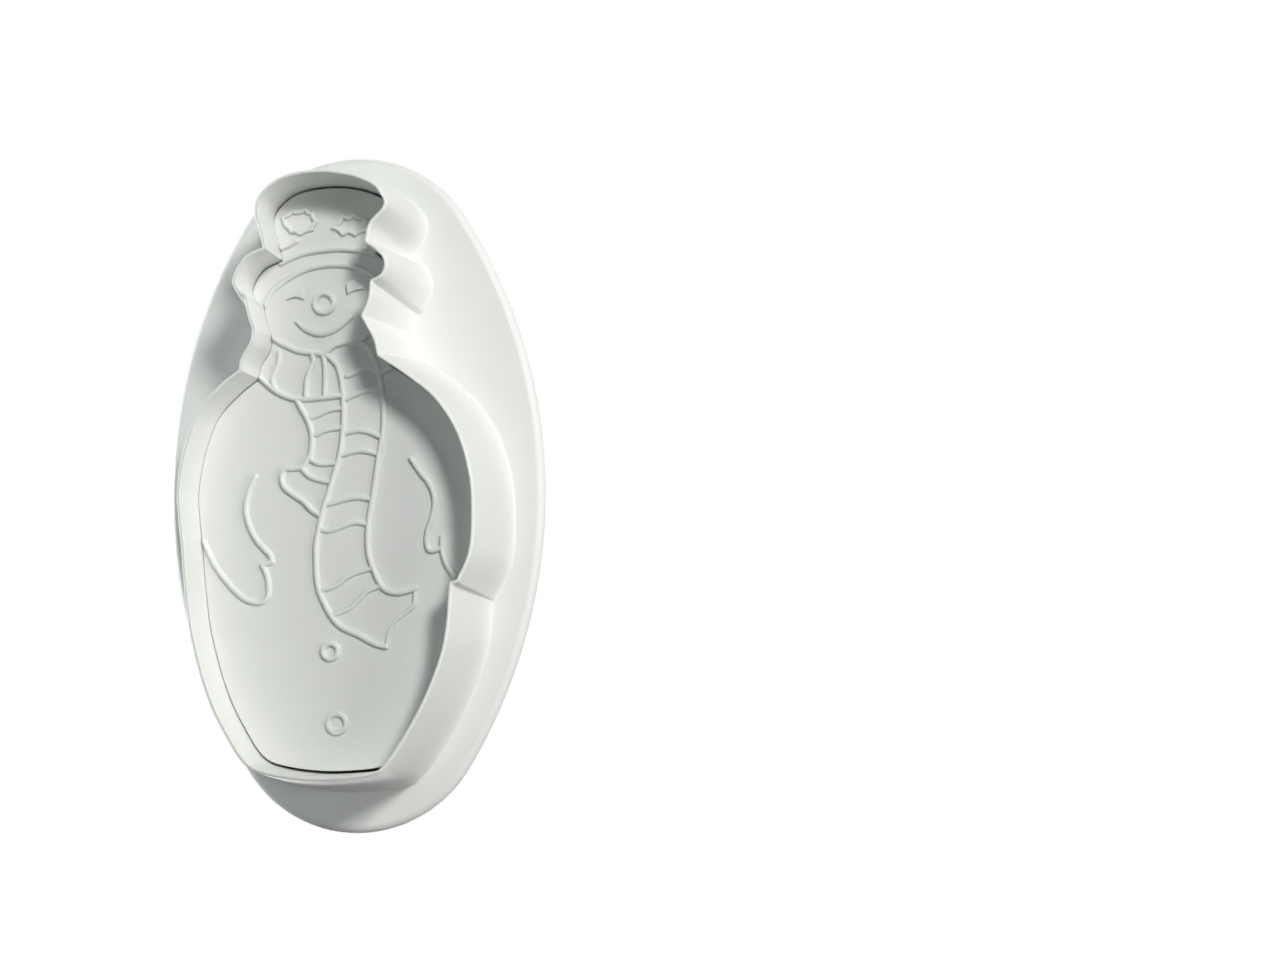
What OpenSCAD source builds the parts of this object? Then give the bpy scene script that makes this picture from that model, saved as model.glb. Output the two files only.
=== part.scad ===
// Plunger cutter for pastry and sugar paste: a snowman-shaped cutting wall on an
// oval flange, with a sprung plate that embosses the paste and pushes it out.
// The cutter stands on its cutting edge. +Z runs up the plunger to the knob and
// +Y runs to the snowman's hat. The face is drawn as seen from below, so its own
// right is -X. All sizes are millimetres.

/* [Figure] */
// Height of the cut shape, hat to base
shape_length = 85; // [70:0.2:110]

/* [Cutting wall] */
// Depth of the wall, cutting edge to flange
wall_depth = 16.4; // [12:0.1:24]
// Thickness of the wall at its cutting edge
edge_thickness = 0.5; // [0.3:0.05:0.9]
// How far the outside of the wall leans out at its foot
wall_draft = 2.5; // [0.6:0.1:3.2]

/* [Flange] */
// Width of flange left outside the wall at the two ends
end_border = 5; // [3:0.1:12]
// Width of flange left outside the wall at the two sides
side_border = 4.6; // [3:0.1:12]
// Radius of the oval's two end arcs
end_radius = 19.4; // [15:0.1:24]
// Thickness of the flange, which has a full round rim
flange_thickness = 2.4; // [1.6:0.1:4]

/* [Embossing plate] */
// How far the plate lies behind the cutting edge at rest
plate_recess = 7.3; // [5:0.1:9]
// Thickness of the plate
plate_thickness = 2; // [1.2:0.1:3]
// Gap between the plate and the wall, all round
plate_clearance = 0.3; // [0.2:0.05:0.6]
// Thickness of the skirt and the ribs behind the plate
skirt_thickness = 1.2; // [0.8:0.1:2]
// Gap between the skirt and the flange at rest
stop_clearance = 0.3; // [0.1:0.05:0.6]

/* [Relief] */
// Width of a raised line
line_width = 0.7; // [0.5:0.05:1]
// Height of a raised line
line_height = 0.5; // [0.3:0.05:0.8]
// Diameter of the nose's ring
nose_d = 2.6; // [1.6:0.1:3.6]
// Diameter of a button's ring
button_d = 2.2; // [1.4:0.1:3.2]

/* [Guide tube] */
// Outside diameter of the guide tube
tube_d = 22.5; // [20:0.1:28]
// Thickness of the tube's wall
tube_wall = 1.8; // [1.2:0.1:2.4]
// Length of the tube behind the flange, its end collar included
tube_length = 37.7; // [32:0.1:60]
// Thickness of the end collar that guides the shank
collar_thickness = 4.6; // [4:0.1:6]
// Height of the socket ring that carries the tube
socket_height = 4; // [2:0.1:8]

/* [Plunger] */
// Diameter of the stem that carries the plate
stem_d = 9; // [7:0.1:10]
// Diameter of the bore along the stem
stem_bore = 5; // [3:0.1:6]
// Gap between the stem and the flange's hole
stem_clearance = 0.3; // [0.2:0.05:0.6]
// Diameter of the shank under the knob
shank_d = 15.2; // [13:0.1:16]
// Running gap between the shank and the collar
shank_clearance = 0.06; // [0.02:0.01:0.09]
// Depth of the stem's end in the shank
stem_grip = 18; // [10:0.5:24]
// Diameter of the knob
knob_d = 35; // [28:0.5:45]
// Thickness of the knob at its round rim
knob_thickness = 2.6; // [2:0.1:5]
// Rise of the knob's top above its rim
knob_crown = 0.6; // [0.2:0.1:2]
// Radius of the blend between knob and shank
knob_blend = 4; // [2:0.1:5]
// Clear shank between the tube and the knob's blend at rest
shank_show = 15.5; // [12:0.5:30]

/* [Return spring] */
// Diameter of the spring wire
wire_d = 1; // [0.6:0.05:1.3]
// Diameter of the coil, wire centre to wire centre
coil_d = 12; // [11:0.1:13]
// Number of turns
spring_turns = 8; // [5:1:9]
// Length of the spring at rest
spring_length = 19.2; // [16:0.1:24]

/* [Hidden] */
$fn = 96;

plastic = "gainsboro";
steel = "silver";

// Outline of the cut shape at the cutting edge, anticlockwise from the hat's top.
figure = [
    [-0.8, 43.7], [-5.7, 43], [-8.9, 40.7], [-9.7, 38.3], [-9.1, 35.6], [-8.5, 32.9, 1],
    [-11, 31.8], [-12.9, 28.6], [-12.3, 26.6], [-11.2, 25.8, 1], [-10.8, 23.3], [-10.1, 21.3, 1],
    [-10.8, 19.1], [-11.6, 17.2], [-11.9, 15.8, 1], [-14.4, 13.9], [-17.8, 10.3], [-19.8, 5.3],
    [-20.9, -0.7], [-20.7, -5.1], [-20.3, -8.6, 1], [-19.9, -13.9], [-18.9, -21.4], [-16.4, -30],
    [-13.3, -36.1], [-11.2, -39], [-9, -40.2], [-3.5, -41.2], [1.8, -41.3], [7.3, -40.6],
    [9, -39.2], [12, -34.9], [14.9, -29.5], [17.2, -23], [18.1, -15.2, 1], [19, -14.9, 1],
    [20.8, -10.9], [21.3, -4.5], [20.9, 0.5], [19.3, 6], [16.3, 10.8], [12.5, 14.1],
    [8.3, 17.1, 1], [7.8, 19.3], [6.1, 22.5, 1], [7.1, 24.8], [7.4, 27.3, 1], [9.1, 28.5],
    [9.2, 30.8], [6.6, 33.1, 1], [7.2, 35.7], [9.5, 38.8, 1], [7.6, 41.5], [3.8, 43.1]];

// All drawings are scaled by k, which makes the figure shape_length high.
function span(points, axis) = let (along = [for (p = points) p[axis]]) max(along) - min(along);
k = shape_length / span(figure, 1);
figure_width = k * span(figure, 0);

flange_length = shape_length + 2 * (wall_draft + end_border);
flange_width = figure_width + 2 * (wall_draft + side_border);
flange_top = wall_depth + flange_thickness;
socket_top = flange_top + socket_height;
tube_top = flange_top + tube_length;
tube_bore = tube_d - 2 * tube_wall;
stem_hole = stem_d + 2 * stem_clearance;
plate_back = plate_recess + plate_thickness;
spring_top = socket_top + spring_length;
stem_top = spring_top + stem_grip;
blend_start = tube_top + shank_show;
knob_under = blend_start + knob_blend;

// Side arcs of the oval, from its two half sizes and its end arcs.
half_l = flange_length / 2;
half_w = flange_width / 2;
end_centre = half_l - end_radius;
side_radius = (half_w * half_w + end_centre * end_centre - end_radius * end_radius)
    / (2 * (half_w - end_radius));
side_centre = side_radius - half_w;
join_angle = atan2(end_centre, side_centre);

// Curves. A knot is [x, y], and [x, y, 1] where the line turns a sharp corner.
knot_steps = 4;
function xy(p) = [p[0], p[1]];
function unit(v) = v / max(norm(v), 0.0001);
function is_corner(p) = len(p) > 2;
function scaled(knots) = [for (p = knots) is_corner(p) ? [k * p[0], k * p[1], 1] : k * p];
function heading(before, here, after, away) = is_corner(here) ? unit(away) : unit(xy(after) - xy(before));
function bend(a, b, from, to, t) =
    let (len = norm(b - a))
    a * (2 * t * t * t - 3 * t * t + 1) + from * len * (t * t * t - 2 * t * t + t)
    + b * (3 * t * t - 2 * t * t * t) + to * len * (t * t * t - t * t);
function loop_curve(knots) = [
    for (i = [0 : len(knots) - 1])
        let (n = len(knots), p = knots[(i + n - 1) % n], a = knots[i],
             b = knots[(i + 1) % n], q = knots[(i + 2) % n], ab = xy(b) - xy(a),
             from = heading(p, a, b, ab), to = heading(a, b, q, ab))
        for (s = [0 : knot_steps - 1]) bend(xy(a), xy(b), from, to, s / knot_steps)];
function open_curve(knots) = concat([
    for (i = [0 : len(knots) - 2])
        let (n = len(knots), a = knots[i], b = knots[i + 1], ab = xy(b) - xy(a),
             from = i == 0 ? unit(ab) : heading(knots[i - 1], a, b, ab),
             to = i == n - 2 ? unit(ab) : heading(a, b, knots[i + 2], ab))
        for (s = [0 : knot_steps - 1]) bend(xy(a), xy(b), from, to, s / knot_steps)],
    [xy(knots[len(knots) - 1])]);

// Moves the points of a loop drawn anticlockwise outwards, or inwards if d < 0.
function outward(t) = [t[1], -t[0]];
function grown(points, d) = [
    for (i = [0 : len(points) - 1])
        let (n = len(points), p = xy(points[(i + n - 1) % n]), a = xy(points[i]),
             q = xy(points[(i + 1) % n]), u = outward(unit(a - p)), v = outward(unit(q - a)))
        a + d * (u + v) / max(1 + u * v, 0.7)];
// The two sides of an open line, and the two of a closed one, half a width away.
function beside(points, d) = [
    for (i = [0 : len(points) - 1])
        let (n = len(points), a = points[i], p = points[max(i - 1, 0)], q = points[min(i + 1, n - 1)],
             u = outward(unit(i == 0 ? q - a : a - p)), v = outward(unit(i == n - 1 ? a - p : q - a)))
        a + d * (u + v) / max(1 + u * v, 0.7)];
function backwards(points) = [for (i = [len(points) - 1 : -1 : 0]) points[i]];

// The outline at its real size, the wall's foot, where its corners are rounded off, and the
// lines inside it, which keep its corners.
figure_knots = scaled(figure);
edge_line = loop_curve(figure_knots);
foot_line = loop_curve(grown(figure_knots, wall_draft));
bore_line = inset_line(edge_thickness);
plate_line = inset_line(edge_thickness + plate_clearance);
relief_line = inset_line(edge_thickness + 2 * plate_clearance);
function inset_line(d) =
    let (points = grown(figure_knots, -d))
    loop_curve([
        for (i = [0 : len(points) - 1])
            is_corner(figure_knots[i]) ? concat(points[i], 1) : points[i]]);

// A drawing on the face is turned over so that it reads right from below.
module on_face(z) { translate([0, 0, z]) mirror([1, 0, 0]) children(); }

// Skin between rings of equal numbers of points, closed round on itself.
module ring_solid(rings) {
    n = len(rings[0]);
    m = len(rings);
    polyhedron(
        points = [for (ring = rings) for (p = ring) p],
        faces = [for (r = [0 : m - 1]) for (i = [0 : n - 1]) for (half = [0, 1])
            let (s = (r + 1) % m, j = (i + 1) % n)
            half == 0 ? [r * n + i, r * n + j, s * n + j] : [r * n + i, s * n + j, s * n + i]]);
}
// The same with a flat cap on its first and on its last ring.
module capped_solid(rings) {
    n = len(rings[0]);
    m = len(rings);
    polyhedron(
        points = [for (ring = rings) for (p = ring) p],
        faces = concat(
            [for (r = [0 : m - 2]) for (i = [0 : n - 1]) for (half = [0, 1])
                let (s = r + 1, j = (i + 1) % n)
                half == 0 ? [r * n + i, s * n + j, r * n + j] : [r * n + i, s * n + i, s * n + j]],
            [[for (i = [0 : n - 1]) i], [for (i = [n - 1 : -1 : 0]) (m - 1) * n + i]]));
}
function at_height(points, z) = [for (p = points) [p[0], p[1], z]];

module cutting_wall() {
    color(plastic) on_face(0) ring_solid([
        at_height(edge_line, 0), at_height(foot_line, wall_depth),
        at_height(bore_line, wall_depth), at_height(bore_line, 0)]);
}

// The oval's outline moved inwards: four arcs, each [centre, radius, start, end, steps].
side_steps = 32;
end_steps = 28;
oval_arcs = [
    [[-side_centre, 0], side_radius, -join_angle, join_angle, side_steps],
    [[0, end_centre], end_radius, join_angle, 180 - join_angle, end_steps],
    [[side_centre, 0], side_radius, 180 - join_angle, 180 + join_angle, side_steps],
    [[0, -end_centre], end_radius, 180 + join_angle, 360 - join_angle, end_steps]];
function oval(inset) = [
    for (arc = oval_arcs) for (s = [0 : arc[4] - 1])
        let (turn = arc[2] + (arc[3] - arc[2]) * s / arc[4])
        arc[0] + (arc[1] - inset) * [cos(turn), sin(turn)]];

// Flat on both sides, with a full round rim, and a hole for the stem.
rim_steps = 8;
module oval_flange() {
    r = flange_thickness / 2;
    color(plastic) translate([0, 0, wall_depth]) difference() {
        capped_solid([
            for (i = [0 : rim_steps])
                let (turn = 180 * i / rim_steps - 90)
                at_height(oval(r * (1 - cos(turn))), r + r * sin(turn))]);
        translate([0, 0, -1]) cylinder(d = stem_hole, h = flange_thickness + 2);
    }
}

// Ring on the back of the flange: the tube sits round it and the spring on it.
module tube_socket() {
    color(plastic) translate([0, 0, flange_top]) difference() {
        cylinder(d = tube_bore, h = socket_height);
        translate([0, 0, -1]) cylinder(d = stem_hole, h = socket_height + 2);
    }
}

module guide_tube() {
    color(plastic) translate([0, 0, flange_top]) difference() {
        cylinder(d = tube_d, h = tube_length - collar_thickness);
        translate([0, 0, -1]) cylinder(d = tube_bore, h = tube_length - collar_thickness + 2);
    }
}

// In-turned end of the tube, rounded outside from the tube to the shank's hole.
module tube_collar() {
    hole = shank_d / 2 + shank_clearance;
    round = min(tube_d / 2 - hole - 0.2, collar_thickness - 0.4);
    outer = tube_d / 2;
    color(plastic) translate([0, 0, tube_top - collar_thickness]) rotate_extrude() union() {
        translate([hole, 0]) square([outer - hole, collar_thickness - round]);
        translate([hole, 0]) square([outer - round - hole, collar_thickness]);
        translate([outer - round, collar_thickness - round]) intersection() {
            circle(round);
            square(round);
        }
    }
}

// Compression spring between the socket and the shank, as one swept wire.
spring_steps = 16;
spring_sides = 6;
module return_spring() {
    rise = spring_length - wire_d;
    count = spring_turns * spring_steps;
    slope = atan2(rise / spring_turns, PI * coil_d);
    color(steel) translate([0, 0, socket_top + wire_d / 2]) polyhedron(
        points = [for (i = [0 : count]) for (s = [0 : spring_sides - 1])
            let (turn = 360 * i / spring_steps, a = 360 * (s + 0.5) / spring_sides,
                 r = coil_d / 2 + wire_d / 2 * cos(a), side = wire_d / 2 * sin(a))
            [r * cos(turn) + side * sin(slope) * sin(turn), r * sin(turn) - side * sin(slope) * cos(turn),
             rise * i / count + side * cos(slope)]],
        faces = concat(
            [for (i = [0 : count - 1]) for (s = [0 : spring_sides - 1]) for (half = [0, 1])
                let (t = (s + 1) % spring_sides, a = i * spring_sides, b = a + spring_sides)
                half == 0 ? [a + s, a + t, b + t] : [a + s, b + t, b + s]],
            [for (s = [1 : spring_sides - 2]) [0, s + 1, s]],
            [for (s = [1 : spring_sides - 2])
                let (e = count * spring_sides) [e, e + s, e + s + 1]]));
}
echo(str("gap between the spring's turns ", spring_length / spring_turns - wire_d));

module embossing_plate() {
    color(plastic) on_face(plate_recess) linear_extrude(plate_thickness) polygon(plate_line);
}

// Skirt and ribs on the plate's back: they stop on the flange at rest.
module plate_skirt() {
    depth = wall_depth - stop_clearance - plate_back;
    color(plastic) on_face(plate_back) linear_extrude(depth) {
        difference() {
            polygon(plate_line);
            offset(r = -skirt_thickness) polygon(plate_line);
        }
        difference() {
            intersection() {
                offset(r = -skirt_thickness / 2) polygon(plate_line);
                union() {
                    square([skirt_thickness, shape_length], center = true);
                    square([flange_width, skirt_thickness], center = true);
                }
            }
            circle(d = stem_d);
        }
    }
}

module plunger_stem() {
    color(plastic) translate([0, 0, plate_back]) difference() {
        cylinder(d = stem_d, h = stem_top - plate_back);
        translate([0, 0, 1]) cylinder(d = stem_bore, h = stem_top - plate_back);
    }
}

module knob_shank() {
    color(plastic) difference() {
        translate([0, 0, spring_top]) cylinder(d = shank_d, h = blend_start - spring_top);
        translate([0, 0, spring_top - 1]) cylinder(d = stem_d, h = stem_grip + 1);
    }
}

module push_knob() {
    rim = knob_thickness / 2;
    flat_r = knob_d / 2 - rim;
    neck = shank_d / 2;
    crown_r = (flat_r * flat_r + knob_crown * knob_crown) / (2 * knob_crown);
    color(plastic) translate([0, 0, knob_under]) rotate_extrude() {
        square([flat_r, knob_thickness]);
        intersection() {
            translate([flat_r, rim]) circle(rim, $fn = 32);
            square([knob_d, knob_thickness]);
        }
        intersection() {
            translate([0, knob_thickness + knob_crown - crown_r]) circle(crown_r, $fn = 720);
            translate([0, rim]) square([flat_r, knob_thickness]);
        }
        difference() {
            translate([0, -knob_blend]) square([neck + knob_blend, knob_blend + rim]);
            translate([neck + knob_blend, -knob_blend]) circle(knob_blend);
        }
    }
}

// Raised lines on the plate's face, drawn in the figure's own units.
module line(knots) {
    points = open_curve(scaled(knots));
    w = line_width / 2;
    polygon(concat(beside(points, w), backwards(beside(points, -w))));
    for (end = [points[0], points[len(points) - 1]]) translate(end) circle(w, $fn = 12);
}
module loop(knots) {
    points = loop_curve(scaled(knots));
    difference() {
        offset(r = line_width / 2) polygon(points);
        offset(r = -line_width / 2) polygon(points);
    }
}
module relief() {
    color(plastic) on_face(plate_recess - line_height) linear_extrude(line_height) intersection() {
        children();
        polygon(relief_line);
    }
}

hat_lines = [
    [[-7.8, 32.1], [-5.2, 33], [-2.2, 33.7], [0.7, 33.7], [3.4, 33.3], [7.3, 32.3]],
    [[-7.2, 29.8], [-5.2, 30.7], [-3.1, 31.3], [-0.5, 31.4], [2.9, 30.9], [7.3, 28.7]],
    [[-8.6, 34.2], [-5.6, 35.1]]];
module hat_band() { relief() for (knots = hat_lines) line(knots); }

// A leaf is a loop that turns inwards between its points.
leaf_left = [
    [-8, 38.9, 1], [-7.2, 38], [-6.5, 36.7, 1], [-5.8, 36.6], [-5.2, 35.9, 1], [-4.4, 36.5],
    [-3.3, 36.6, 1], [-3.5, 37.4], [-2.9, 38.3, 1], [-3.4, 38.7], [-3.7, 39.3, 1], [-4.3, 39.3],
    [-4.7, 39.9, 1], [-5.3, 39.4], [-6.5, 39.6, 1], [-6.9, 38.9]];
leaf_right = [
    [-0.7, 36.9, 1], [0.3, 36.3], [1.1, 35.5, 1], [2, 36.1], [3, 35.5, 1], [3.6, 36.1],
    [4.8, 36.1, 1], [4.6, 37.2], [5, 38.4, 1], [4.1, 38.3], [3.2, 38.9, 1], [2.4, 38.4],
    [1.7, 38.6, 1], [1.2, 38.1], [0.1, 38.1, 1], [-0.1, 37.4]];
module hat_leaf_left() { relief() loop(leaf_left); }
module hat_leaf_right() { relief() loop(leaf_right); }

eye_outlines = [
    [[-6.9, 27], [-5.7, 27.2], [-4.6, 26.8], [-4.7, 27.9], [-5.2, 28.5], [-6, 28]],
    [[1.4, 29.1], [1.8, 27], [2.8, 27.7], [4.6, 27.7], [3.4, 28.5], [2.6, 29.2]]];
module eyes() { relief() for (outline = eye_outlines) polygon(k * outline); }

nose_centre = [-1.8, 26.1];
module ring(centre, d) {
    translate(k * centre) difference() {
        circle(d = d + line_width);
        circle(d = d - line_width);
    }
}
module nose_ring() { relief() ring(nose_centre, nose_d); }

smile_line = [[-5.7, 23.3], [-4.7, 22.3], [-3.5, 21.6], [-2.2, 21.3], [-0.6, 21.7], [0.6, 22.3], [2.3, 23.5]];
module smile() { relief() line(smile_line); }

// The scarf round the neck: under the chin in two sweeps, and its lower border.
chin_left = [[-9.4, 21.3], [-8.2, 20.4], [-6.7, 19.5], [-5.2, 19], [-3.7, 18.7], [-1.9, 18.6]];
chin_right = [[-1.9, 18.6], [-1.1, 19.2], [0, 19.9], [1.5, 20.2], [3.1, 20.1], [4.5, 20.9], [6.4, 22.6]];
wrap_bottom = [[-11.3, 15.2], [-9.7, 13.8], [-8.2, 12.7], [-6.4, 12.2], [-2.9, 12.1], [0.8, 12.3]];
wrap_folds = [
    [[6.5, 15.2], [7.9, 15.9], [9.4, 16.9]], [[-9.9, 19.7], [-10.4, 18.1], [-10.7, 16.3]],
    [[-8.4, 19.2], [-8.5, 17.4], [-9.3, 15.9], [-9.1, 13.9]],
    [[-3.7, 18.7], [-3.5, 17.4], [-4.1, 15.7], [-4.4, 12.7]],
    [[-2.2, 18.4], [-1.9, 17], [-1.7, 14.9], [-1.8, 13]]];
module wrap_lines() {
    line(chin_left);
    line(chin_right);
    line(wrap_bottom);
    for (fold = wrap_folds) line(fold);
}
// What lies above the chin, and the band of the wrap: other lines stop at them.
module above_chin() {
    polygon(concat(
        open_curve(scaled(chin_left)), open_curve(scaled(chin_right)), k * [[7.3, 31.1], [-10.3, 30.4]]));
}
module wrap_area() { polygon(concat(open_curve(scaled(wrap_bottom)), k * [[0.7, 18.8], [-11.4, 18.4]])); }
module scarf_wrap() { relief() wrap_lines(); }

// Left and right edges of the scarf's long end, and the bars across it.
long_left = [[-1.6, 18.6], [-0.1, 16.9], [0.5, 15], [1, 12.2], [0.9, 8.4], [0.2, 4.2], [-1.7, -1.6],
    [-3, -6.5], [-3.4, -10.6], [-3.1, -14.4], [-2.1, -17.4], [0.1, -19.9], [3.1, -21.8], [6.1, -23.4]];
long_right = [[3.1, 20.1], [4.5, 19], [5.7, 16.8], [6.5, 14.2], [6.9, 10.6], [6.7, 7.2], [5.9, 3.1],
    [5, -1.5], [4.2, -6.5], [4.1, -10.4], [4.9, -12.8], [6.4, -15], [8.3, -15.9], [11.2, -15.4]];
long_tip = [[11.2, -15.4], [11, -16.9], [10.1, -18.3], [8.4, -19.6], [7.2, -21.4], [6.1, -23.4]];
long_bars = [
    [[1.7, 15.3], [3, 15.8], [4.5, 15.9], [6.1, 15.2]],
    [[1.3, 12], [2.8, 12.5], [4.5, 13.1], [6.5, 12.9]],
    [[0.9, 6.9], [2.7, 7.3], [4.3, 7], [6.4, 6.2]], [[0.4, 3.8], [2, 4.3], [3.7, 4.3], [5.8, 3.8]],
    [[-1.8, -3.2], [0, -2.5], [1.9, -2.4], [4.6, -2.6]],
    [[-2.8, -6.6], [-1, -6.9], [2.1, -6], [4.2, -6.2]],
    [[-3, -15.3], [-0.7, -14.9], [1.9, -13.2], [4.9, -12.5]],
    [[-0.9, -18.7], [1.1, -18.2], [3.5, -16], [5.9, -14.9]]];
module long_lines() {
    line(long_left);
    line(long_right);
    line(long_tip);
    for (bar = long_bars) line(bar);
}
module scarf_long_end() {
    relief() difference() {
        long_lines();
        wrap_lines();
        above_chin();
    }
}
module long_area() {
    polygon(concat(open_curve(scaled(long_left)), backwards(open_curve(scaled(long_right)))));
}

short_left = [[-6.4, 12.3], [-5.6, 10.8], [-4.7, 9.3], [-4.1, 7.7], [-3.9, 5.9], [-4.1, 3.8], [-5.3, 2.3]];
short_flap = [[-5.3, 2.3], [-6.6, 2.3], [-7.9, 2.1], [-8.2, 0.8], [-7.9, -0.4], [-6.5, -1.6], [-5, -2.7],
    [-3.8, -3.9], [-2.4, -4.7]];
short_bars = [
    [[-4.2, 9], [-2.4, 9.6], [-0.9, 10.2], [0.7, 10.3]],
    [[-3.9, 6.5], [-2.4, 6.8], [-1, 7.7], [0.6, 7.8]],
    [[-4.1, 3.6], [-3.1, 3], [-1.9, 2.6], [-0.3, 2.7]],
    [[-5.2, 2.2], [-4.5, 1.4], [-3.2, 0.7], [-1.3, 0]]];
module scarf_short_end() {
    relief() difference() {
        union() {
            line(short_left);
            line(short_flap);
            for (bar = short_bars) line(bar);
        }
        long_lines();
        long_area();
        wrap_lines();
        wrap_area();
    }
}

arm_left_lines = [
    [[-12, 1.4], [-12.9, -0.4], [-13.5, -2.8], [-13.3, -5], [-12, -7.3], [-10.4, -9.3], [-9.5, -10.7]],
    [[-9.5, -10.7], [-11.2, -11.3]],
    [[-11.2, -11.3], [-10.4, -12.4], [-10.1, -14.3], [-10.2, -16.2], [-11.1, -17], [-13.1, -16.2],
        [-15.1, -14.5], [-17.3, -11.5], [-19.2, -8.5]]];
arm_right_lines = [
    [[10.6, 3.2], [12.3, 0.9], [13.7, -1.2], [14.1, -3.3], [13.6, -5.5], [13, -7.5], [12.9, -9.2],
        [13.4, -10], [14.5, -9.9]],
    [[14.9, -8.3], [15.1, -10.3], [16, -12.4], [17.7, -14.8]]];
module arm_left() { relief() for (knots = arm_left_lines) line(knots); }
module arm_right() { relief() for (knots = arm_right_lines) line(knots); }

button_centres = [[-1.3, -23.8], [-0.3, -33.8]];
module buttons() { relief() for (centre = button_centres) ring(centre, button_d); }

cutting_wall();
oval_flange();
tube_socket();
guide_tube();
tube_collar();
return_spring();
embossing_plate();
plate_skirt();
plunger_stem();
knob_shank();
push_knob();
hat_band();
hat_leaf_left();
hat_leaf_right();
eyes();
nose_ring();
smile();
scarf_wrap();
scarf_long_end();
scarf_short_end();
arm_left();
arm_right();
buttons();
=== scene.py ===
# %% [markdown]
# # A sprung plunger cutter for paste
# The tool cuts a snowman from rolled paste, presses a drawing into it and pushes it out again.
# It is made of white mouldings and one spring: a walled flange, a guide tube, a plate with a
# raised drawing, and a knob on a shank. The CAD model holds the sizes. This script gives each
# moulding the soft edges, the blends and the finish of real plastic, where the frame puts it.

import math

import bmesh
import bpy
from mathutils import Matrix, Vector


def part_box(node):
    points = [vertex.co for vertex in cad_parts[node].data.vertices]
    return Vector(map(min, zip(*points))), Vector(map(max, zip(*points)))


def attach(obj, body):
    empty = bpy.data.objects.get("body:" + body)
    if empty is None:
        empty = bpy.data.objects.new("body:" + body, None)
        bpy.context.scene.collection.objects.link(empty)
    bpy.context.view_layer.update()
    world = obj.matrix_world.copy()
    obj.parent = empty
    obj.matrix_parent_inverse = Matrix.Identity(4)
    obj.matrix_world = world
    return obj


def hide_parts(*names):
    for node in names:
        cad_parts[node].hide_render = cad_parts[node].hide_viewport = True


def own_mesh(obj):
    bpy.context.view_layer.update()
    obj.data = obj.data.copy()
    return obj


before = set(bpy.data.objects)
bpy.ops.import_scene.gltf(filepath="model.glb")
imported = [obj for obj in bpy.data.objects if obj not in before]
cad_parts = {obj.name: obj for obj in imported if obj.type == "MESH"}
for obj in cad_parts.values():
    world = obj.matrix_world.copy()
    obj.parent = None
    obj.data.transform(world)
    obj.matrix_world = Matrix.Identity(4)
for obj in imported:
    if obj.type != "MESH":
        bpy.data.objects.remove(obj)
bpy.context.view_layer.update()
MM = 0.001


def corners(node):
    """Lowest and highest corner of a CAD node, in millimetres."""
    return [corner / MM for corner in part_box(node)]


# %% [markdown]
# ## The camera
# The photograph looks up into the cutting edge, from a little beside the snowman's face. The
# cutter stands on that edge here, so the camera sits below it. A camera can be placed by eye, but
# every shape is then judged against a wrong view. This one was solved from points of the wall,
# the plate and the flange that can be told apart in the photograph.

# %% Camera
CAMERA_PLACE = Vector((-70.9, -25.8, -238.5)) * MM
CAMERA_TARGET = Vector((-43.4, -1.16, 6.0)) * MM
CAMERA_ROLL = math.radians(1.33)
CAMERA_LENS = 50.22


def add_camera():
    """Looks up at the plate, with the snowman's hat at the top of the picture."""
    forward = (CAMERA_TARGET - CAMERA_PLACE).normalized()
    level = forward.cross(Vector((0, 1, 0))).normalized()
    upright = level.cross(forward)
    right = level * math.cos(CAMERA_ROLL) - upright * math.sin(CAMERA_ROLL)
    up = right.cross(forward)
    data = bpy.data.cameras.new("camera")
    data.lens = CAMERA_LENS
    data.clip_start = 0.01
    camera = bpy.data.objects.new("camera", data)
    bpy.context.scene.collection.objects.link(camera)
    placement = Matrix((right, up, -forward)).transposed().to_4x4()
    placement.translation = CAMERA_PLACE
    camera.matrix_world = placement
    bpy.context.scene.camera = camera


add_camera()
print("camera to plate, mm:", round((CAMERA_TARGET - CAMERA_PLACE).length / MM))

# %% [markdown]
# ## Skins
# Every moulding here is a skin over rings of points: a ring for each step along the profile, and
# faces from each ring to the next. Primitives and bevels would be quicker, but a bevel can't
# follow a drafted wall round a hat and a chin, and rings can. Weighted normals keep the flat
# faces flat right up to their rounded edges.

# %% Skins and solids
SAME_POINT = 1e-7
SHARP = 40


def make_piece(name, points, faces):
    """A closed solid from points in millimetres."""
    mesh = bpy.data.meshes.new(name)
    mesh.from_pydata([Vector(point) * MM for point in points], [], faces)
    solid = bmesh.new()
    solid.from_mesh(mesh)
    bmesh.ops.remove_doubles(solid, verts=solid.verts, dist=SAME_POINT)
    bmesh.ops.recalc_face_normals(solid, faces=solid.faces)
    solid.to_mesh(mesh)
    solid.free()
    piece = bpy.data.objects.new(name, mesh)
    bpy.context.scene.collection.objects.link(piece)
    shade(piece, SHARP)
    return piece


def shade(piece, sharp):
    """Smooth shading that breaks at edges sharper than so many degrees; flat faces stay flat."""
    piece.data.shade_smooth()
    piece.data.set_sharp_from_angle(angle=math.radians(sharp))
    weighted = piece.modifiers.new("flat_faces", "WEIGHTED_NORMAL")
    weighted.keep_sharp = True


def skin(name, rings, closed=False):
    """Joins rings of equally many points; the rings close on themselves or end in flat caps."""
    size = len(rings[0])
    spans = len(rings) if closed else len(rings) - 1
    points = [point for ring in rings for point in ring]
    faces = []
    for r in range(spans):
        near = r * size
        far = (r + 1) % len(rings) * size
        for i in range(size):
            j = (i + 1) % size
            faces.append((near + i, near + j, far + j, far + i))
    if not closed:
        faces.append(tuple(range(size)))
        faces.append(tuple(range(spans * size, (spans + 1) * size)))
    return make_piece(name, points, faces)


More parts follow.
